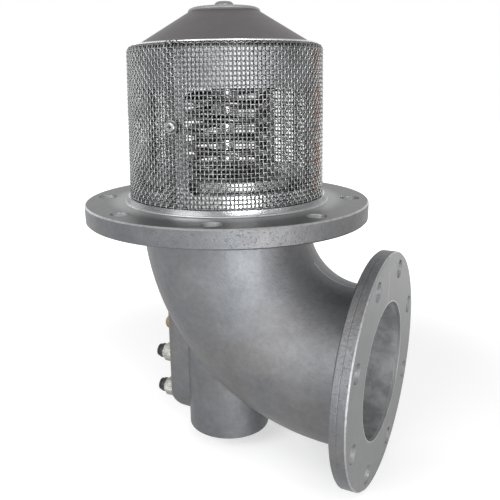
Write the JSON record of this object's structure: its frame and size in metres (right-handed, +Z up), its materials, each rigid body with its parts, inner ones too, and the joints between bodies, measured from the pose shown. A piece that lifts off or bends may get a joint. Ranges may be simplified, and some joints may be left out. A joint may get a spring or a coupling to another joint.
{
  "type": "tank bottom valve",
  "caption": "Pneumatic foot valve for a tank: flanged elbow casting, spring-closed poppet under a cage with a woven strainer, air cylinder below.",
  "frame": {"origin": "centre of the tank flange's top face", "axes": "+Z up into the tank along the poppet rod, +X the way the outlet flange faces, +Y completing a right-handed frame"},
  "size_m": [0.2325, 0.2112, 0.341],
  "materials": {
    "cast_aluminium": "sand blasted casting",
    "machined_aluminium": "turned",
    "stainless": "bright stainless",
    "spring_steel": "drawn wire, bright",
    "seal_rubber": "matt",
    "bearing_plastic": "matt",
    "bronze": "matt",
    "brass": "satin",
    "plated_brass": "nickel plated, satin",
    "black_plastic": "matt"
  },
  "bodies": {
    "housing": {"valve_body": "cast_aluminium", "strainer_cage": "cast_aluminium", "strainer_screen": "stainless", "screen_screws": "stainless", "screen_washers": "stainless", "spring_guide": "machined_aluminium", "guide_screw": "stainless", "main_spring": "spring_steel", "rod_bush": "bronze", "rod_seal": "seal_rubber", "cylinder_cover": "machined_aluminium", "cover_seal": "seal_rubber", "cover_circlip": "spring_steel", "breather_plug": "brass", "breather_dome": "bronze", "inlet_fitting": "plated_brass", "inlet_face_seal": "seal_rubber", "inlet_tube_seal": "seal_rubber", "inlet_grab_ring": "spring_steel", "outlet_fitting": "plated_brass", "outlet_face_seal": "seal_rubber", "outlet_tube_seal": "seal_rubber", "outlet_grab_ring": "spring_steel"},
    "poppet_assembly": {"poppet": "machined_aluminium", "poppet_seal": "seal_rubber", "seal_retainer": "stainless", "poppet_rod": "stainless", "stack_washer": "stainless", "stack_nut": "stainless", "piston": "machined_aluminium", "piston_seal": "seal_rubber", "piston_wear_ring": "bearing_plastic", "piston_nut": "stainless"},
    "inlet_collet": {"inlet_release_collet": "black_plastic"},
    "outlet_collet": {"outlet_release_collet": "black_plastic"}
  },
  "joints": [
    {"name": "poppet_lift", "type": "slide", "parent": "housing", "child": "poppet_assembly", "axis": [0, 0, 1], "range_m": [0, 0.028], "stiffness_N_per_m": 4640, "springref_m": -0.04, "deforming": ["main_spring"]},
    {"name": "inlet_collet_press", "type": "slide", "parent": "housing", "child": "inlet_collet", "axis": [1, 0, 0], "range_m": [0, 0.001], "stiffness_N_per_m": 1500, "springref_m": -0.0005},
    {"name": "outlet_collet_press", "type": "slide", "parent": "housing", "child": "outlet_collet", "axis": [1, 0, 0], "range_m": [0, 0.001], "stiffness_N_per_m": 1500, "springref_m": -0.0005}
  ]
}
